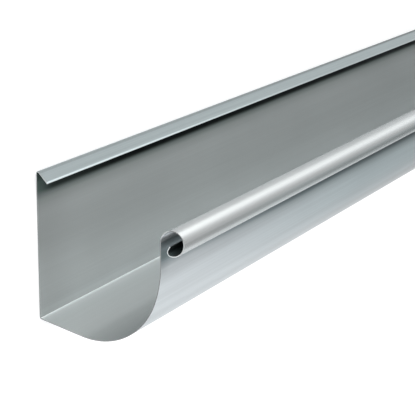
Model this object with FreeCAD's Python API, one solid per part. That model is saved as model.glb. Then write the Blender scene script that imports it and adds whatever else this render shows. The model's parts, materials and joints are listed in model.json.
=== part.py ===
import FreeCAD, Part
import math
import os

# Eaves gutter section: one length of zinc sheet, folded and rolled along its whole length.
# It lies on its flat back wall, as it stays by itself on a level floor: on its round bottom it would roll.
# Millimetres. +X runs along the gutter, the open mouth faces -Y, and the front with the bead is at the top.
# The origin is on the floor, under the middle of the bounding box.

# Stock
LENGTH = 2000.0              # one stock length
SHEET = 0.7                  # sheet thickness

# Back wall and its turned-in fold
BACK_HEIGHT = 110.5          # lower back corner to the top of the fold
FOLD_LENGTH = 11.8           # fold from the top edge to its free edge
FOLD_DROP_ANGLE = 47.0       # fold below the level, in degrees
FOLD_BEND_INSIDE = 0.8       # inside radius where the sheet turns over
CORNER_BEND_INSIDE = 1.2     # inside radius between the back wall and the floor

# Sloping floor and curved front
DEPTH = 101.5                # back face to the outer face of the front wall
FLOOR_SLOPE = 12.4           # fall of the floor towards the front, in degrees
BOTTOM_RADIUS = 52.0         # outer radius of the round bottom
FRONT_RADIUS = 82.5          # outer radius of the slacker curve above it
FRONT_CURVE_ANGLE = 22.0     # part of the turn that the slacker curve takes, in degrees
FRONT_UPRIGHT = 17.0         # upright part of the front, between the curve and the bead

# Rolled bead with its tucked-in edge
BEAD_DIAMETER = 19.0         # over the outside
BEAD_TURN = 278.0            # how far the bead is rolled round, in degrees
TUCK_RADIUS = 3.2            # outer radius of the tighter turn that tucks the edge in
TUCK_TURN = 113.0            # in degrees
TUCK_LIP = 3.2               # straight lip at the free edge


def direction(angle):
    """Unit vector at that angle in the section, with the first axis forward and the second up."""
    turn = math.radians(angle)
    return FreeCAD.Vector(math.cos(turn), math.sin(turn), 0)


class SheetPath:
    """The middle of the sheet's thickness in section, followed as straights and bends."""

    def __init__(self, start, heading):
        self.point = start
        self.heading = heading
        self.left_face = []
        self.right_face = []
        self.girth = 0.0

    def across(self, offset):
        """A point beside the path: half a sheet to the left for +1, to the right for -1."""
        return self.point + direction(self.heading + 90) * (offset * SHEET / 2)

    def straight(self, length):
        left, right = self.across(1), self.across(-1)
        self.point = self.point + direction(self.heading) * length
        self.left_face.append(Part.LineSegment(left, self.across(1)).toShape())
        self.right_face.append(Part.LineSegment(right, self.across(-1)).toShape())
        self.girth += length

    def bend(self, radius, turn):
        """Bends on a mid-sheet radius. A positive turn goes left, a negative one goes right."""
        side = math.copysign(1, turn)
        centre = self.point + direction(self.heading + 90 * side) * radius
        first = self.heading - 90 * side
        for faces, offset in ((self.left_face, 1), (self.right_face, -1)):
            face_radius = radius - side * offset * SHEET / 2
            ends = [centre + direction(first + turn * share) * face_radius for share in (0, 0.5, 1)]
            faces.append(Part.Arc(*ends).toShape())
        self.point = centre + direction(first + turn) * radius
        self.heading += turn
        self.girth += radius * math.radians(abs(turn))

    def outline(self):
        """The closed outline of the sheet in section."""
        starts = [faces[0].firstVertex(True).Point for faces in (self.left_face, self.right_face)]
        first_edge = Part.LineSegment(*starts).toShape()
        last_edge = Part.LineSegment(self.across(1), self.across(-1)).toShape()
        edges = self.left_face + [last_edge] + self.right_face[::-1] + [first_edge]
        return Part.Wire(Part.__sortEdges__(edges))


def gutter_path():
    """The whole section, from the fold's free edge down the back and round to the tucked-in lip."""
    half = SHEET / 2
    slope = math.radians(FLOOR_SLOPE)
    join = math.radians(FRONT_CURVE_ANGLE)

    # The floor line leaves the lower back corner, at depth 0 and height 0.
    # Both curves touch: the bottom one this floor line, the front one the upright front wall.
    radius_step = FRONT_RADIUS - BOTTOM_RADIUS
    bottom_depth = DEPTH - FRONT_RADIUS + radius_step * math.cos(join)
    bottom_height = (BOTTOM_RADIUS - math.sin(slope) * bottom_depth) / math.cos(slope)
    floor_to_curve = bottom_depth * math.cos(slope) - bottom_height * math.sin(slope)

    corner_outside = CORNER_BEND_INSIDE + SHEET
    corner_turn = 90 - FLOOR_SLOPE
    corner_setback = corner_outside * math.tan(math.radians(corner_turn) / 2)
    fold_outside = FOLD_BEND_INSIDE + SHEET
    fold_turn = 90 + FOLD_DROP_ANGLE
    back_straight = BACK_HEIGHT - fold_outside - corner_setback
    fold_straight = FOLD_LENGTH - fold_outside

    # The free edge of the fold, worked back from the top of the back wall.
    fold_heading = 180 - FOLD_DROP_ANGLE
    fold_centre = FreeCAD.Vector(fold_outside, BACK_HEIGHT - fold_outside, 0)
    fold_middle_radius = FOLD_BEND_INSIDE + half
    fold_start = fold_centre + direction(fold_heading - 90) * fold_middle_radius
    free_edge = fold_start - direction(fold_heading) * fold_straight

    path = SheetPath(free_edge, fold_heading)
    path.straight(fold_straight)
    path.bend(fold_middle_radius, fold_turn)
    path.straight(back_straight)
    path.bend(CORNER_BEND_INSIDE + half, corner_turn)
    path.straight(floor_to_curve - corner_setback)
    path.bend(BOTTOM_RADIUS - half, 90 + FLOOR_SLOPE - FRONT_CURVE_ANGLE)
    path.bend(FRONT_RADIUS - half, FRONT_CURVE_ANGLE)
    path.straight(FRONT_UPRIGHT)
    path.bend(BEAD_DIAMETER / 2 - half, -BEAD_TURN)
    path.bend(TUCK_RADIUS - half, -TUCK_TURN)
    path.straight(TUCK_LIP)
    return path


def lay_on_back(section_face):
    """Lays the section on its back wall, runs it along the length and puts the origin under its middle."""
    section_face.rotate(FreeCAD.Vector(0, 0, 0), FreeCAD.Vector(0, 1, 0), -90)
    section_face.rotate(FreeCAD.Vector(0, 0, 0), FreeCAD.Vector(0, 0, 1), 180)
    sheet = section_face.extrude(FreeCAD.Vector(LENGTH, 0, 0))
    box = sheet.optimalBoundingBox(False, False)
    sheet.translate(FreeCAD.Vector(-box.Center.x, -box.Center.y, -box.ZMin))
    return sheet


path = gutter_path()
gutter = lay_on_back(Part.Face(path.outline()))

os.makedirs("parts", exist_ok=True)
gutter.exportStep("parts/gutter_section.step")

box = gutter.optimalBoundingBox(False, False)
print("girth of the sheet %.1f" % path.girth)
print("box %.2f %.2f %.2f" % (box.XLength, box.YLength, box.ZLength))
print("x %.2f %.2f y %.2f %.2f z %.2f %.2f" % (box.XMin, box.XMax, box.YMin, box.YMax, box.ZMin, box.ZMax))
print("volume %.0f valid %s" % (gutter.Volume, gutter.isValid()))
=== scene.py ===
# %% [markdown]
# # An eaves gutter in rolled zinc
#
# The real object is one strip of zinc sheet, 0.7 mm thick. A roll former folds it along its whole
# length: a fold along the top of the back wall, a sharp corner, a sloping floor, a round front and a
# rolled bead with its edge tucked in. This script bends a strip in the same order, gives it a
# rolled-zinc finish, and lights it softly on a plain pale floor.

import json
import math
from typing import NamedTuple

import bmesh
import bpy
from mathutils import Matrix, Vector


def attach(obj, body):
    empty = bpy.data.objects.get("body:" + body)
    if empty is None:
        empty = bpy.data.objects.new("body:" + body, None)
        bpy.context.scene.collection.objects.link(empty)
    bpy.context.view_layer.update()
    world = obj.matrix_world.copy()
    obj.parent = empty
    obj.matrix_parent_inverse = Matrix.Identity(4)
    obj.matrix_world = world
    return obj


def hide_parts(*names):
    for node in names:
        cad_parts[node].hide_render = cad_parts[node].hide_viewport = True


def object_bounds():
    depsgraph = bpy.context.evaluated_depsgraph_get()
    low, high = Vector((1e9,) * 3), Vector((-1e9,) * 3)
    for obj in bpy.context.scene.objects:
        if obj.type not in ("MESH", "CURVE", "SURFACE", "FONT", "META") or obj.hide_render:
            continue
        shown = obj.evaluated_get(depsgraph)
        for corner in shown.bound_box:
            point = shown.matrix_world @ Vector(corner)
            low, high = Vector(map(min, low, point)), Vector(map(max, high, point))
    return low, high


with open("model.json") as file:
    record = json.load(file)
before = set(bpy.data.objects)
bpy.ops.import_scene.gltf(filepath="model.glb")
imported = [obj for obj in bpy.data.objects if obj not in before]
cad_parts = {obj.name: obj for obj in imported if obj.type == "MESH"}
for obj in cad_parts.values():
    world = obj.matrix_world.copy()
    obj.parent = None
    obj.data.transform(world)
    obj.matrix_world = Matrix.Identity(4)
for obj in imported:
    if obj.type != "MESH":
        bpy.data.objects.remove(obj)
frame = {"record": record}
cad_low, cad_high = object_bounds()
print("CAD box", [round(value, 4) for value in (*cad_low, *cad_high)])

# %% [markdown]
# ## Where the gutter lies
#
# The sheet is easiest to bend in the position in which it is installed, with its back wall upright:
# X along the gutter from its near end, -Y to the front, +Z up, and the lower back corner at the origin.
# On the floor it lies on that back wall, with its mouth to the side. The mount on the back wall tells
# where the wall is and which way it faces there, so one matrix takes the bent sheet, the camera and
# the lights from the installed position to the place where the gutter lies.

# %% The sizes of the stock and its place on the floor
SHEET = 0.0007
LENGTH = cad_high.x - cad_low.x
BACK_MOUNT_HEIGHT = 0.060

back_mount = next(mount for mount in frame["record"]["mounts"] if mount["name"] == "back_wall")
along = Vector((-1, 0, 0))
behind = Vector(back_mount["axis"])
above = along.cross(behind)
turned = Matrix((along, behind, above)).transposed()
back_place = Vector((cad_high.x, *back_mount["pos_m"][1:]))
installed_to_floor = (
    Matrix.Translation(back_place) @ turned.to_4x4() @ Matrix.Translation((0, 0, -BACK_MOUNT_HEIGHT)))
print("installed up points to", [round(value, 3) for value in above])

# %% [markdown]
# ## Bending the strip
#
# Sheet metal only ever bends one way, so the whole section can be made from one edge as long as the
# gutter. Extruding the edge makes a flat run, and spinning it round an axis along X makes a bend. The
# path follows the middle of the sheet, and each bend is divided finely enough for a smooth highlight.
#
# Every row of points remembers how far across the sheet it is, measured round the bends. That number
# and the place along the gutter become a UV map in metres, the flat blank that the gutter was rolled
# from. The grain of the metal is drawn on that blank, so it follows every bend as it does in the real one.

# %% A strip that is extruded and spun
class Strip:
    """A sheet in the making: its leading edge, and the way that the sheet is heading."""

    def __init__(self, start, heading):
        self.bm = bmesh.new()
        self.across_layer = self.bm.verts.layers.float.new("across")
        ends = [self.bm.verts.new((x, *self.place(start))) for x in (0, LENGTH)]
        self.lead = self.bm.edges.new(ends)
        self.point = Vector(start)
        self.heading = heading
        self.across = 0.0

    @staticmethod
    def place(point):
        """Section coordinates, forward and up, as Y and Z."""
        return -point[0], point[1]

    @staticmethod
    def way(angle):
        """A unit vector in the section, at that angle above straight forward."""
        return Vector((math.cos(math.radians(angle)), math.sin(math.radians(angle))))

    def straight(self, length):
        """A flat run of that length."""
        step = self.way(self.heading) * length
        made = bmesh.ops.extrude_edge_only(self.bm, edges=[self.lead])["geom"]
        corners = [item for item in made if isinstance(item, bmesh.types.BMVert)]
        bmesh.ops.translate(self.bm, verts=corners, vec=(0, *self.place(step)))
        near, far = corners
        self.lead = next(edge for edge in near.link_edges if edge.other_vert(near) is far)
        self.point = self.point + step
        self.mark_row(length)

    def bend(self, radius, turn, steps):
        """A bend that turns upwards for a positive turn and downwards for a negative one, in degrees."""
        side = math.copysign(1, turn)
        centre = self.point + self.way(self.heading + 90 * side) * radius
        step = math.radians(turn) / steps
        for _ in range(steps):
            made = bmesh.ops.spin(
                self.bm, geom=[*self.lead.verts, self.lead], cent=(0, *self.place(centre)), axis=(-1, 0, 0),
                angle=step, steps=1, use_duplicate=False)
            self.lead = next(item for item in made["geom_last"] if isinstance(item, bmesh.types.BMEdge))
            self.mark_row(abs(step) * radius)
        self.heading += turn
        self.point = centre + self.way(self.heading - 90 * side) * radius

    def mark_row(self, length):
        """Notes how far across the sheet the new row is."""
        self.across += length
        for vert in self.lead.verts:
            vert[self.across_layer] = self.across

    def unroll(self):
        """Lays the UV map out as the flat blank: across the sheet, then along it."""
        uv = self.bm.loops.layers.uv.new("blank")
        for face in self.bm.faces:
            for loop in face.loops:
                loop[uv].uv = (loop.vert[self.across_layer], loop.vert.co.x)


# %% [markdown]
# ## The section, run by run
#
# A gutter has few sizes: the height of its back, its depth, and the radius of each bend. The rest follows
# from them, because every bend has to meet the runs beside it without a kink. The floor slopes, so water
# and dirt don't lie in the corner, and its length is what is left between the corner and the round front.
# The bead stiffens the front edge, and the tuck keeps its raw edge out of reach.

# %% The runs and bends of the section
BACK_HEIGHT = 0.1105
FOLD_LENGTH = 0.0118
FOLD_ANGLE = 47.0
FOLD_INSIDE = 0.0008
CORNER_INSIDE = 0.0012
DEPTH = 0.1015
FLOOR_SLOPE = 12.4
BOTTOM_RADIUS = 0.052
FRONT_RADIUS = 0.0825
FRONT_CURVE = 22.0
FRONT_UPRIGHT = 0.017
BEAD_RADIUS = 0.0095
BEAD_TURN = 278.0
TUCK_RADIUS = 0.0032
TUCK_TURN = 113.0
TUCK_LIP = 0.0032

# The centre of the round bottom, forward of the back wall and above the corner
slope = math.radians(FLOOR_SLOPE)
radius_change = (FRONT_RADIUS - BOTTOM_RADIUS) * math.cos(math.radians(FRONT_CURVE))
bottom_forward = DEPTH - FRONT_RADIUS + radius_change
bottom_up = (BOTTOM_RADIUS - math.sin(slope) * bottom_forward) / math.cos(slope)

# What the corner and the fold leave of the flat runs
corner_bend = CORNER_INSIDE + SHEET / 2
corner_setback = (corner_bend + SHEET / 2) * math.tan(math.radians(90 - FLOOR_SLOPE) / 2)
floor_run = bottom_forward * math.cos(slope) - bottom_up * math.sin(slope)
fold_bend = FOLD_INSIDE + SHEET / 2
fold_outside = fold_bend + SHEET / 2
fold_run = FOLD_LENGTH - fold_outside
fold_heading = 180 - FOLD_ANGLE
fold_centre = Vector((fold_outside, BACK_HEIGHT - fold_outside))
fold_end = fold_centre + Strip.way(90 - FOLD_ANGLE) * fold_bend

strip = Strip(fold_end - Strip.way(fold_heading) * fold_run, fold_heading)
strip.straight(fold_run)
strip.bend(fold_bend, 90 + FOLD_ANGLE, steps=16)
strip.straight(BACK_HEIGHT - fold_outside - corner_setback)
strip.bend(corner_bend, 90 - FLOOR_SLOPE, steps=12)
strip.straight(floor_run - corner_setback)
strip.bend(BOTTOM_RADIUS - SHEET / 2, 90 + FLOOR_SLOPE - FRONT_CURVE, steps=40)
strip.bend(FRONT_RADIUS - SHEET / 2, FRONT_CURVE, steps=12)
strip.straight(FRONT_UPRIGHT)
strip.bend(BEAD_RADIUS - SHEET / 2, -BEAD_TURN, steps=96)
strip.bend(TUCK_RADIUS - SHEET / 2, -TUCK_TURN, steps=24)
strip.straight(TUCK_LIP)
strip.unroll()
print("blank", round(strip.across * 1000, 1), "mm wide, rolled into", len(strip.bm.faces), "faces")

# %% [markdown]
# ## From a strip to a sheet
#
# The strip has no thickness yet. Solidify adds it evenly on both sides of the path, so every wall is the
# same 0.7 mm, bends included, as in a real sheet. It also keeps the two faces and the cut edge apart as
# three material slots. Shears leave a slight burr, which is taken off before the gutter is handled, so
# a very small Bevel rounds the cut edge, and the edge catches a thin line of light.

# %% The strip as a sheet with a thickness
EDGE_ROUNDING = 0.00012
SHARP_ANGLE = 60


def as_object(bm, name):
    """Puts a finished mesh into the scene as an object."""
    mesh = bpy.data.meshes.new(name)
    bm.to_mesh(mesh)
    bm.free()
    piece = bpy.data.objects.new(name, mesh)
    bpy.context.scene.collection.objects.link(piece)
    return piece


bmesh.ops.transform(strip.bm, matrix=installed_to_floor, verts=strip.bm.verts)
for face in strip.bm.faces:
    face.smooth = True
sheet = as_object(strip.bm, "zinc_sheet")
thickness = sheet.modifiers.new("sheet thickness", "SOLIDIFY")
thickness.thickness = SHEET
thickness.offset = 0
thickness.use_even_offset = True
thickness.material_offset = 1
thickness.material_offset_rim = 2
cut_edge = sheet.modifiers.new("deburred edge", "BEVEL")
cut_edge.width = EDGE_ROUNDING
cut_edge.segments = 2
cut_edge.limit_method = "ANGLE"
cut_edge.angle_limit = math.radians(SHARP_ANGLE)
cut_edge.harden_normals = True
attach(sheet, "root")
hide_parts("gutter_section")
print("sheet", round(SHEET * 1000, 2), "mm thick on", len(sheet.data.polygons), "faces")

# %% [markdown]
# ## Tools for the finish
#
# A material could be wired by hand in the shader editor. Here a few small helpers do it, so the code for a
# finish reads like a recipe: one adds a Math node, one adds up parts by their weights, and one takes one
# range of numbers to another.

# %% Helpers for the shaders
def shader(name):
    """A node material, its node tree, and its surface shader."""
    material = bpy.data.materials.new(name)
    material.use_nodes = True
    tree = material.node_tree
    return material, tree, tree.nodes["Principled BSDF"]


def calculate(tree, operation, *values):
    """A Math node on sockets or plain numbers, and its result."""
    node = tree.nodes.new("ShaderNodeMath")
    node.operation = operation
    for socket, value in zip(node.inputs, values):
        if isinstance(value, bpy.types.NodeSocket):
            tree.links.new(value, socket)
        else:
            socket.default_value = value
    return node.outputs["Value"]


def add_parts(tree, start, *parts):
    """A start value, plus each part times its weight."""
    total = start
    for part, weight in parts:
        total = calculate(tree, "MULTIPLY_ADD", part, weight, total)
    return total


def from_to(tree, value, low, high, start, end, smooth=True):
    """Takes a value from one range to another and stops at its ends."""
    node = tree.nodes.new("ShaderNodeMapRange")
    node.interpolation_type = "SMOOTHSTEP" if smooth else "LINEAR"
    tree.links.new(value, node.inputs["Value"])
    for socket, number in zip(("From Min", "From Max", "To Min", "To Max"), (low, high, start, end)):
        node.inputs[socket].default_value = number
    return node.outputs["Result"]


# %% [markdown]
# ## Patterns on the flat blank
#
# A finish on rolled stock belongs to the flat blank, so every pattern here reads the UV map called blank,
# in metres. Grain is noise, stretched by a Mapping node until its marks are long one way and fine the
# other. A second helper tells how far a point is across the blank and in from its cut ends, and a third
# turns a pattern into relief.

# %% Grain, places and relief on the blank
GRAIN_ROUGHNESS = 0.55
SEED_STEPS = (1.0, 1.7, 0.3)


class Grain(NamedTuple):
    """One size of grain: marks to the metre across and along the sheet, and layers of finer marks.

    apart keeps it from lining up with a finish's other grains, and shade is its weight in the colour."""
    across: float
    along: float
    detail: float
    apart: float
    shade: float


def blank_map(tree):
    """The place on the flat blank, in metres."""
    node = tree.nodes.new("ShaderNodeUVMap")
    node.uv_map = "blank"
    return node.outputs["UV"]


def noise_of(tree, grain, seed):
    """The grain as a number, centred on zero."""
    stretch = tree.nodes.new("ShaderNodeMapping")
    stretch.inputs["Location"].default_value = [(seed + grain.apart) * step for step in SEED_STEPS]
    stretch.inputs["Scale"].default_value = (grain.across, grain.along, 1)
    noise = tree.nodes.new("ShaderNodeTexNoise")
    noise.inputs["Scale"].default_value = 1.0
    noise.inputs["Detail"].default_value = grain.detail
    noise.inputs["Roughness"].default_value = GRAIN_ROUGHNESS
    tree.links.new(blank_map(tree), stretch.inputs["Vector"])
    tree.links.new(stretch.outputs["Vector"], noise.inputs["Vector"])
    return calculate(tree, "SUBTRACT", noise.outputs["Fac"], 0.5)


def place_on_blank(tree):
    """How far a point is across from the fold's edge, and in from the nearer cut end, in metres."""
    parts = tree.nodes.new("ShaderNodeSeparateXYZ")
    tree.links.new(blank_map(tree), parts.inputs[0])
    other_end = calculate(tree, "SUBTRACT", LENGTH, parts.outputs["Y"])
    return parts.outputs["X"], calculate(tree, "MINIMUM", parts.outputs["Y"], other_end)


def raise_relief(tree, surface, height, depth, strength):
    """Lets a pattern stand up from the surface by that depth, in metres."""
    bump = tree.nodes.new("ShaderNodeBump")
    bump.inputs["Distance"].default_value = depth
    bump.inputs["Strength"].default_value = strength
    tree.links.new(height, bump.inputs["Height"])
    tree.links.new(bump.outputs["Normal"], surface.inputs["Normal"])


# %% [markdown]
# ## Zones of the blank
#
# Most zones paint light and shade into the colour of the zinc: painted shade under the fold, under the bead
# and in the bead's hollow, painted highlights on the corner, the fold's lip and the cut edges, and lighter
# and darker stretches along the faces. Because the blank is flat, such a zone is only a band between two
# lines that run along it. A zone gives a number from zero to one, and each zone in turn multiplies the
# colour by its own tint, in a Mix node that carries the zone's name.
#
# How strong each zone is was set by comparing renders with the photograph, and some zones have no other
# cause: they make up for what the simple light of this scene doesn't give. So part of the light and shade
# of the photograph is in the metal's colour here.

# %% What one stretch of the blank looks like
# Limits beyond the blank, for a zone that runs on to its edge
BEFORE_FOLD = (-0.03, -0.02)
PAST_LIP = (0.34, 0.35)


class Zone(NamedTuple):
    """A stretch of the blank, and how it differs.

    The zone rises between the first two limits and falls between the last two, in metres from the fold's
    edge. Below its inset, in metres from the cut ends, it fades out. Its tint multiplies the colour, duller
    is added to the roughness, and barer to the share of bare metal."""
    name: str
    limits: tuple
    tint: tuple
    inset: float = 0
    duller: float = 0
    barer: float = 0


def grey(share):
    """A tint that only darkens or lightens."""
    return (share, share, share)


def zone_share(tree, place, zone):
    """One in the zone and zero outside it, and soft between."""
    across, inward = place
    rise, risen, fall, fallen = zone.limits
    rising = from_to(tree, across, rise, risen, 0, 1)
    falling = from_to(tree, across, fall, fallen, 1, 0)
    share = calculate(tree, "MULTIPLY", rising, falling)
    if zone.inset:
        share = calculate(tree, "MULTIPLY", share, from_to(tree, inward, 0, zone.inset, 0, 1))
    return share


def tinted(tree, tone, shade, shares):
    """The metal's own colour, lighter and darker with the grain, then with light and shade painted in zone
    by zone.
    """
    scale = tree.nodes.new("ShaderNodeVectorMath")
    scale.operation = "SCALE"
    scale.inputs[0].default_value = tone
    tree.links.new(shade, scale.inputs["Scale"])
    colour = scale.outputs["Vector"]
    for zone, share in shares:
        # Each zone multiplies the colour by its tint; most tints are painted light and shade.
        zone_mix = tree.nodes.new("ShaderNodeMix")
        zone_mix.label = zone.name
        zone_mix.data_type = "RGBA"
        zone_mix.blend_type = "MULTIPLY"
        tree.links.new(share, zone_mix.inputs["Factor"])
        tree.links.new(colour, zone_mix.inputs["A"])
        zone_mix.inputs["B"].default_value = (*zone.tint, 1)
        colour = zone_mix.outputs["Result"]
    return colour


# %% [markdown]
# ## The rolled finish
#
# Zinc strip comes off the rolls with a satin face. The rolls leave grain that runs along the strip, and
# metal with a grain spreads a highlight across the grain and keeps it narrow along it. Blender calls
# that anisotropic: the tangent points across the grain, which is the U direction of the blank. The grain
# itself is noise, stretched far along the strip and fine across it, in three sizes from hair lines to
# soft bands, and a fourth noise gives the faint clouds of the oxide film. They vary the colour, the
# roughness and the share of bare metal, and the hair lines also drive the bump.
#
# Oxide is a thin pale layer that scatters light, so the face isn't all mirror: Metallic stays well under
# one, except where a zone is barer.

# %% The satin face of rolled zinc
HAIR_LINES = Grain(across=2600, along=9, detail=4, apart=0, shade=0.08)
FINE_LINES = Grain(across=620, along=2.2, detail=3, apart=3.1, shade=0.06)
SOFT_BANDS = Grain(across=90, along=0.8, detail=2, apart=5.3, shade=0.04)
OXIDE_CLOUDS = Grain(across=16, along=9, detail=4, apart=7.9, shade=0.07)
SATIN_ROUGHNESS = 0.32
LINES_IN_ROUGHNESS = 0.03
CLOUDS_IN_ROUGHNESS = 0.05
CLOUDS_IN_METAL = -0.12
HAIR_DEPTH = 0.00001


def rolled_zinc(name, tone, streaks, bare, seed, zones):
    """The satin face of rolled zinc, with its grain along the strip.

    streaks is how strongly the grain shows in the colour, and bare the share of metal that shows through
    the oxide film."""
    material, tree, surface = shader(name)
    surface.inputs["Anisotropic"].default_value = 0.8
    surface.inputs["Specular Tint"].default_value = (0.62, 0.64, 0.65, 1)
    surface.inputs["Specular IOR Level"].default_value = 0.3
    hair, lines, bands, clouds = (
        noise_of(tree, grain, seed) for grain in (HAIR_LINES, FINE_LINES, SOFT_BANDS, OXIDE_CLOUDS))
    shade = add_parts(
        tree, 1.0, (hair, HAIR_LINES.shade * streaks), (lines, FINE_LINES.shade * streaks),
        (bands, SOFT_BANDS.shade * streaks), (clouds, OXIDE_CLOUDS.shade))
    satin = add_parts(tree, SATIN_ROUGHNESS, (lines, LINES_IN_ROUGHNESS), (clouds, CLOUDS_IN_ROUGHNESS))
    metal = add_parts(tree, bare, (clouds, CLOUDS_IN_METAL))
    place = place_on_blank(tree)
    shares = [(zone, zone_share(tree, place, zone)) for zone in zones]
    satin = add_parts(tree, satin, *((share, zone.duller) for zone, share in shares if zone.duller))
    metal = add_parts(tree, metal, *((share, zone.barer) for zone, share in shares if zone.barer))
    tree.links.new(tinted(tree, tone, shade, shares), surface.inputs["Base Color"])
    tree.links.new(satin, surface.inputs["Roughness"])
    tree.links.new(metal, surface.inputs["Metallic"])
    raise_relief(tree, surface, hair, HAIR_DEPTH, strength=0.5)
    across_grain = tree.nodes.new("ShaderNodeTangent")
    across_grain.direction_type = "UV_MAP"
    across_grain.uv_map = "blank"
    tree.links.new(across_grain.outputs["Tangent"], surface.inputs["Tangent"])
    return material


# %% [markdown]
# ## The inner face
#
# This face lines the channel, and goes on round the outside of the bead. Below the fold a strip has painted
# shade, grey-green near the cut ends and nearly black further in. Far in, that strip is set barer too,
# because bare metal scatters no light and so stays darkest. The corner has a painted highlight and is a
# little barer, and the bead is nearly bare and the smoothest part, so it has the clearest highlight. The
# zones of the wall, the floor, the round front and the rest of the bead are painted light and shade that
# only match the photograph.

# %% The inner face
INNER_TONE = (0.466, 0.494, 0.493)
UNDER_FOLD_SHADE = (0.0180, 0.0225)
WALL = (0.0260, 0.0337, 0.1204, 0.1212)
LOWER_WALL = (0.0600, 0.0850, 0.1204, 0.1212)
WALL_FOOT = (0.0750, 0.1150, 0.1204, 0.1212)
TO_BEAD = (0.2620, 0.2680)
UP_THE_BEAD = (0.2620, 0.2800)
BEAD_UNDERSIDE_END = (0.3290, 0.3350)
INNER_ZONES = (
    # Painted shade under the fold: grey-green near the cut ends, nearly black further in, fading down the
    # wall.
    Zone("painted shade under the fold", (*BEFORE_FOLD, 0.0258, 0.0303), (0.55, 0.66, 0.63)),
    Zone("painted shade behind the fold's lip", (*UNDER_FOLD_SHADE, 0.0258, 0.0303), grey(0.22), inset=0.022),
    Zone("deep painted shade behind the fold's lip", (*UNDER_FOLD_SHADE, 0.0258, 0.0292), grey(0.12), inset=0.140, barer=0.36),
    Zone("painted shade fading below the fold", (*BEFORE_FOLD, 0.0288, 0.0346), (0.69, 0.73, 0.72)),
    Zone("last of the painted shade below the fold", (*BEFORE_FOLD, 0.0240, 0.0450), (0.63, 0.65, 0.64)),
    # Painted light and shade on the wall: lighter away from the cut ends, darker at the middle of the
    # length, and lighter towards its foot.
    Zone("wall", WALL, grey(0.97)),
    Zone("wall from the cut", WALL, grey(1.25), inset=0.06),
    Zone("wall past the cut", WALL, grey(1.13), inset=0.30),
    Zone("middle of the wall", WALL, grey(0.84), inset=0.90),
    Zone("lower wall", LOWER_WALL, grey(1.13)),
    Zone("lower wall from the cut", LOWER_WALL, grey(0.91), inset=0.10),
    Zone("foot of the wall", WALL_FOOT, grey(1.19)),
    Zone("foot of the wall from the cut", WALL_FOOT, grey(1.12), inset=0.12),
    Zone("foot of the wall, middle", WALL_FOOT, grey(0.88), inset=0.90),
    # A painted highlight along the corner bend, which is also a little barer.
    Zone("painted highlight on the corner", (0.1120, 0.1185, 0.1230, 0.1245), grey(1.14), barer=0.06),
    # Painted shade: the floor and the round front get darker towards the bead.
    Zone("floor and front", (0.1226, 0.1300, *TO_BEAD), grey(0.89)),
    Zone("round front", (0.1560, 0.1650, *TO_BEAD), grey(0.86)),
    Zone("rising front", (0.1780, 0.2200, *TO_BEAD), grey(0.78)),
    Zone("bare bead", (0.2620, 0.2700, *PAST_LIP), (0.92, 0.90, 0.905), duller=-0.08, barer=0.33),
    # Painted light and shade on the bead: lighter towards and above the mouth and on its underside, darker
    # on its front near the cut ends and at the middle of the length.
    Zone("bead towards the mouth", (*UP_THE_BEAD, 0.2900, 0.2970), grey(1.22)),
    Zone("bead above the mouth", (*UP_THE_BEAD, 0.2912, 0.2940), grey(1.55)),
    Zone("bead above the mouth, middle", (*UP_THE_BEAD, 0.2930, 0.2955), grey(0.62), inset=0.90),
    Zone("front of the bead", (0.3060, 0.3095, 0.3125, 0.3145), grey(0.81)),
    Zone("front of the bead, far in", (0.3050, 0.3085, 0.3125, 0.3145), (1.26, 1.32, 1.32), inset=0.20),
    Zone("underside of the bead", (0.3122, 0.3148, *BEAD_UNDERSIDE_END), grey(1.30)),
    Zone("lowest line of the bead", (0.3135, 0.3158, *BEAD_UNDERSIDE_END), grey(1.16)),
    Zone("underside of the bead, middle", (0.3110, 0.3128, *BEAD_UNDERSIDE_END), grey(0.50), inset=0.80),
)
sheet.data.materials.append(
    rolled_zinc("rolled zinc inner face", INNER_TONE, streaks=1.4, bare=0.62, seed=21.0, zones=INNER_ZONES))
print("inner face has", len(INNER_ZONES), "zones")
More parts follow.
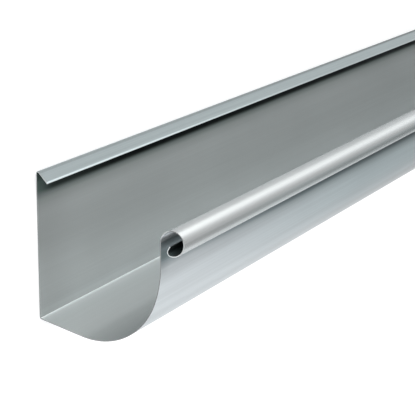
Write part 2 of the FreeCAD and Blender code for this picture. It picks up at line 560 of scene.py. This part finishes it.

# %% [markdown]
# ## The outer face
#
# This face starts as the top of the fold, which is dull and has painted shade, and only its last millimetre
# has a painted highlight. It goes on down the back and round the front, where the grain shows most, and up
# to the bead, with painted shade on the last stretch below it. Past the upright it turns into the inside of
# the bead, with a painted highlight on its roof near the cut ends and painted shade deeper in. The zones of
# the round bottom and the front, and most of those that start far in, are painted light and shade that only
# match the photograph.

# %% The outer face
OUTER_TONE = (0.424, 0.4545, 0.472)
FOLD_EDGE = (0.0011, 0.0017)
FOLD_BACK = (0.0128, 0.0134)
LOW_FRONT = (0.2100, 0.2260, 0.2380, 0.2460)
UPRIGHT_FOOT = (0.2640, 0.2690)
BELOW_BEAD = (0.2785, 0.2795)
HOLLOW_END = (0.3185, 0.3235)
OUTER_ZONES = (
    Zone("top of the fold", (*BEFORE_FOLD, *FOLD_BACK), (0.945, 1.0, 0.985)),
    # A painted highlight on the fold's last millimetre, dimmer further in; the fold's face has painted
    # shade as well as a duller finish, with a painted dark line beside its bend, darker at the middle of
    # the length.
    Zone("edge of the fold, middle", (*BEFORE_FOLD, *FOLD_EDGE), grey(0.55), inset=0.60),
    Zone("painted highlight on the fold's edge", (*BEFORE_FOLD, *FOLD_EDGE), grey(1.12)),
    Zone("dull face of the fold with painted shade", (*FOLD_EDGE, *FOLD_BACK), grey(0.78), duller=0.25),
    Zone("painted dark line beside the fold's bend", (0.0084, 0.0094, 0.0104, 0.0112), grey(0.80)),
    Zone("bend of the fold, middle", (0.0092, 0.0102, *FOLD_BACK), grey(0.60), inset=0.80),
    # Painted light and shade on the round bottom and the front: lighter and darker bands, darker towards
    # the middle of the length.
    Zone("round bottom", (0.1500, 0.1600, 0.2120, 0.2200), grey(1.10)),
    Zone("round bottom, middle", (0.1500, 0.1600, 0.2190, 0.2270), grey(0.64), inset=0.80),
    Zone("low front", LOW_FRONT, grey(0.89)),
    Zone("low front from the cut", LOW_FRONT, grey(1.10), inset=0.14),
    Zone("front", (0.2300, 0.2360, 0.2480, 0.2540), grey(1.10)),
    Zone("front, middle", (0.1580, 0.1900, 0.2400, 0.2640), grey(0.80), inset=0.70),
    Zone("cooler front far in", (0.2100, 0.2400, *BELOW_BEAD), (0.98, 1.07, 1.07), inset=0.45),
    # Painted shade below the bead, darkest far in, with a painted shadow line on the upright.
    Zone("foot of the upright, middle", (0.2500, 0.2600, *UPRIGHT_FOOT), grey(0.52), inset=0.60),
    Zone("painted shade under the bead, far in", (0.2530, 0.2640, *BELOW_BEAD), (0.46, 0.51, 0.51), inset=0.25),
    Zone("foot of the upright, far in", (0.2570, 0.2625, *UPRIGHT_FOOT), (0.38, 0.43, 0.45), inset=0.30),
    Zone("painted shade under the bead", (0.2580, 0.2670, *BELOW_BEAD), (0.55, 0.61, 0.62)),
    Zone("high front", (0.2400, 0.2460, 0.2580, 0.2620), grey(1.07)),
    Zone("high front, middle", (0.2400, 0.2460, 0.2660, 0.2720), grey(0.90), inset=0.60),
    Zone("painted shadow line on the upright", (0.2640, 0.2680, 0.2705, 0.2740), (0.66, 0.72, 0.71)),
    Zone("upright", (0.2525, 0.2620, 0.2800, 0.2815), grey(0.84)),
    Zone("upright from the cut", (0.2525, 0.2620, 0.2790, 0.2800), grey(1.19), inset=0.016),
    # Painted light and shade in the bead's hollow: a painted highlight on its roof near the cut ends, and
    # painted shade deeper in, on the tuck and on its lip.
    Zone("roof of the hollow", (0.2800, 0.2820, 0.2920, 0.2950), grey(1.35)),
    Zone("painted dark line in the hollow", (0.2800, 0.2815, 0.2822, 0.2843), grey(0.42)),
    Zone("roof of the hollow, far in", (0.2790, 0.2810, 0.2950, 0.3000), (0.32, 0.38, 0.39), inset=0.050),
    Zone("painted shade in the bead's hollow", (0.2920, 0.2950, *HOLLOW_END), (0.18, 0.21, 0.22)),
    Zone("deep painted shade in the bead's hollow", (0.2940, 0.3000, *HOLLOW_END), grey(0.30)),
    Zone("tuck", (*HOLLOW_END, *PAST_LIP), (0.62, 0.74, 0.74)),
    Zone("lip of the tuck", (0.3245, 0.3280, *PAST_LIP), grey(0.25)),
)
sheet.data.materials.append(
    rolled_zinc("rolled zinc outer face", OUTER_TONE, streaks=3.4, bare=0.65, seed=1.0, zones=OUTER_ZONES))
print("outer face has", len(OUTER_ZONES), "zones")

# %% [markdown]
# ## The sheared edge
#
# The cut edge shows the metal without its film, so it is more metallic than the faces, and rougher. Shears
# tear the last of the thickness, which leaves short marks across it. Fine noise on the blank gives them, in
# the colour, the roughness and the bump, and a coarse noise adds patches of tarnish. The zones of the edge
# are painted light and shade that match the photograph too: painted highlights on the long edge and the
# tuck, and painted shade elsewhere.

# %% The sheared edge
SHEAR_MARKS = Grain(across=1800, along=1800, detail=3, apart=0, shade=0.30)
TARNISH = Grain(across=70, along=70, detail=2, apart=4.7, shade=0.30)
EDGE_ROUGHNESS = 0.45
MARKS_IN_ROUGHNESS = 0.20
EDGE_METAL = 0.80
TARNISH_IN_METAL = -0.30
MARK_DEPTH = 0.00002


def sheared_zinc(name, tone, seed, zones):
    """Zinc where the shears went through: bare, with fine marks across it, and a little tarnish."""
    material, tree, surface = shader(name)
    marks, tarnish = (noise_of(tree, grain, seed) for grain in (SHEAR_MARKS, TARNISH))
    shade = add_parts(tree, 1.0, (marks, SHEAR_MARKS.shade), (tarnish, TARNISH.shade))
    place = place_on_blank(tree)
    shares = [(zone, zone_share(tree, place, zone)) for zone in zones]
    rough = add_parts(tree, EDGE_ROUGHNESS, (marks, MARKS_IN_ROUGHNESS))
    metal = add_parts(tree, EDGE_METAL, (tarnish, TARNISH_IN_METAL))
    tree.links.new(tinted(tree, tone, shade, shares), surface.inputs["Base Color"])
    tree.links.new(rough, surface.inputs["Roughness"])
    tree.links.new(metal, surface.inputs["Metallic"])
    raise_relief(tree, surface, marks, MARK_DEPTH, strength=0.6)
    return material


EDGE_TONE = (0.43, 0.45, 0.455)
LONG_EDGE = (0.0004, 0.0008)
EDGE_TO_BEAD = (0.2790, 0.2840)
EDGE_ZONES = (
    # Painted highlights on the long edge and the tuck's edge, the long edge dimmer at the middle of the
    # length; painted shade on the edge below the fold, along the front and round the bead.
    Zone("painted highlight on the long edge", (*BEFORE_FOLD, *LONG_EDGE), grey(1.70)),
    Zone("long edge, middle", (*BEFORE_FOLD, *LONG_EDGE), grey(0.20), inset=0.60),
    Zone("edge below the fold", (0.0150, 0.0250, *EDGE_TO_BEAD), grey(0.62)),
    Zone("edge of the front", (0.1600, 0.1900, *EDGE_TO_BEAD), grey(0.80)),
    Zone("edge of the bead", (0.2900, 0.2925, 0.3035, 0.3065), grey(0.40)),
    Zone("edge of the tuck", (0.3140, 0.3170, *PAST_LIP), grey(1.40)),
)
sheet.data.materials.append(sheared_zinc("sheared zinc edge", EDGE_TONE, seed=13.0, zones=EDGE_ZONES))
print("finishes", [material.name for material in sheet.data.materials])

# %% [markdown]
# ## The camera
#
# The photograph was taken with a long lens from in front of the near end and a little above it. A camera
# is described by its place, the two angles at which it looks, its roll, and its focal length in pixels.
# Those were found for the gutter as it is installed, so the same matrix that lays the gutter on its back
# wall also takes the camera along, and the view of the section stays the same. It then looks down on the
# gutter.

# %% The camera
PHOTO_WIDTH = 415
FOCAL_PIXELS = 1613.4
SENSOR = 36.0
CAMERA_PLACE = Vector((-0.93324, -0.6237, 0.37939))
CAMERA_YAW = 27.51
CAMERA_PITCH = 14.83
CAMERA_ROLL = 0.04

camera_data = bpy.data.cameras.new("photo view")
camera_data.sensor_width = SENSOR
camera_data.lens = FOCAL_PIXELS / PHOTO_WIDTH * SENSOR
camera_data.clip_start = 0.05
camera_data.clip_end = 60
camera = bpy.data.objects.new("photo view", camera_data)
bpy.context.scene.collection.objects.link(camera)
yaw = math.radians(CAMERA_YAW)
pitch = math.radians(CAMERA_PITCH)
ahead = Vector((math.cos(pitch) * math.cos(yaw), math.cos(pitch) * math.sin(yaw), -math.sin(pitch)))
right = Vector((math.sin(yaw), -math.cos(yaw), 0))
up = right.cross(ahead)
stand = Matrix((right, up, -ahead)).transposed().to_4x4()
stand = Matrix.Translation(CAMERA_PLACE) @ stand @ Matrix.Rotation(math.radians(CAMERA_ROLL), 4, "Z")
camera.matrix_world = installed_to_floor @ stand
bpy.context.scene.camera = camera
print("camera at", [round(value, 3) for value in camera.matrix_world.translation])

# %% [markdown]
# ## The floor
#
# A plain pale floor, far wider than the gutter, so that no view shows where it ends. It is matt and nearly
# white, like a light table that glows a little: it lights the gutter from below, and only a soft shadow
# shows where the back wall touches it.

# %% The floor
FLOOR_REACH = 30

floor_bm = bmesh.new()
bmesh.ops.create_grid(floor_bm, x_segments=1, y_segments=1, size=FLOOR_REACH)
floor = as_object(floor_bm, "floor")
paper, paper_tree, surface = shader("pale floor")
surface.inputs["Base Color"].default_value = (0.93, 0.93, 0.93, 1)
surface.inputs["Roughness"].default_value = 0.9
surface.inputs["Specular IOR Level"].default_value = 0.1
surface.inputs["Emission Color"].default_value = (1, 1, 1, 1)
surface.inputs["Emission Strength"].default_value = 0.20
floor.data.materials.append(paper)
print("floor", 2 * FLOOR_REACH, "m wide")

# %% [markdown]
# ## The light
#
# Bright sheet metal is photographed in a light tent, because it shows its surroundings more than its own
# colour. The tent here is the world: rows of soft white panels round the gutter, which only differ in
# brightness, so the bead and the front curve get long, even highlights. A Color Ramp holds one row, from
# the floor on one side over the top to the floor on the other. How bright each panel is was found by
# comparing tones with the photograph.

# %% Rows of light panels
PANEL_ANGLES = (-90, -60, -30, 0, 30, 45, 60, 90)
NEAR_LIGHT = (3.8, 1.8, 0.9, 0.95, 0.95, 1.6, 2.75, 3.2)
FAR_LIGHT = (1.0, 0.4, 0.5, 1.0, 1.6, 2.25, 2.3, 1.8)
CEILING_LIGHT = 1.2
BRIGHTEST = 4.0

world = bpy.data.worlds.new("light tent")
bpy.context.scene.world = world
world.use_nodes = True
tent_tree = world.node_tree
direction = tent_tree.nodes.new("ShaderNodeTexCoord").outputs["Generated"]


def towards(axis):
    """How far the light's direction points along that axis."""
    dot = tent_tree.nodes.new("ShaderNodeVectorMath")
    dot.operation = "DOT_PRODUCT"
    dot.inputs[1].default_value = axis
    tent_tree.links.new(direction, dot.inputs[0])
    return dot.outputs["Value"]


def white(light):
    """A light's colour, as a share of the brightest."""
    return (light / BRIGHTEST,) * 3 + (1,)


def panels(name, turn, row):
    """A row of light panels round the gutter, from one side of the floor over the top to the other."""
    ramp = tent_tree.nodes.new("ShaderNodeValToRGB")
    ramp.label = name
    ramp.color_ramp.interpolation = "LINEAR"
    stops = ramp.color_ramp.elements
    for number, (degrees, light) in enumerate(zip(PANEL_ANGLES, row)):
        place = degrees / 180 + 0.5
        stop = stops[number] if number < 2 else stops.new(place)
        stop.position = place
        stop.color = white(light)
    tent_tree.links.new(turn, ramp.inputs[0])
    return ramp.outputs["Color"]


turn = calculate(tent_tree, "ARCTAN2", towards(above), towards(-behind))
round_the_gutter = from_to(tent_tree, turn, -math.pi / 2, math.pi / 2, 0, 1, smooth=False)
near_panels = panels("near panels", round_the_gutter, NEAR_LIGHT)
far_panels = panels("far panels", round_the_gutter, FAR_LIGHT)
print("light from", len(PANEL_ANGLES), "panels in each row")

# %% [markdown]
# ## Near, far and above
#
# One row lights what the metal mirrors at the near end, another what it mirrors further along, and a plain
# ceiling does the rest. They go over into each other by how far a direction points along the gutter. The
# tent itself is never seen: to the camera the world is plain white.

# %% The light tent
NEAR_TO_FAR = (0.80, 0.91)
CEILING_TO_PANELS = (0.25, 0.65)
BACKDROP = 1.2


def blend_light(name, factor, first, second):
    """Goes over from one light to another."""
    mix = tent_tree.nodes.new("ShaderNodeMix")
    mix.label = name
    mix.data_type = "RGBA"
    tent_tree.links.new(factor, mix.inputs["Factor"])
    for socket, light in ((mix.inputs["A"], first), (mix.inputs["B"], second)):
        if isinstance(light, bpy.types.NodeSocket):
            tent_tree.links.new(light, socket)
        else:
            socket.default_value = white(light)
    return mix.outputs["Result"]


along_gutter = towards(along)
ends = blend_light(
    "near to far", from_to(tent_tree, along_gutter, *NEAR_TO_FAR, 0, 1), near_panels, far_panels)
all_light = blend_light(
    "ceiling to panels", from_to(tent_tree, along_gutter, *CEILING_TO_PANELS, 0, 1), CEILING_LIGHT, ends)
tent = tent_tree.nodes["Background"]
tent.inputs["Strength"].default_value = BRIGHTEST
backdrop = tent_tree.nodes.new("ShaderNodeBackground")
backdrop.inputs["Strength"].default_value = BACKDROP
paths = tent_tree.nodes.new("ShaderNodeLightPath")
pick = tent_tree.nodes.new("ShaderNodeMixShader")
tent_tree.links.new(all_light, tent.inputs["Color"])
tent_tree.links.new(paths.outputs["Is Camera Ray"], pick.inputs[0])
tent_tree.links.new(tent.outputs[0], pick.inputs[1])
tent_tree.links.new(backdrop.outputs[0], pick.inputs[2])
tent_tree.links.new(pick.outputs[0], tent_tree.nodes["World Output"].inputs[0])
print("tent of", len(tent_tree.nodes), "nodes")

# %% [markdown]
# ## The colours as they are
#
# The Standard view transform shows the colours as they are, without a film look.

# %% The colours as they are
bpy.context.scene.view_settings.view_transform = "Standard"
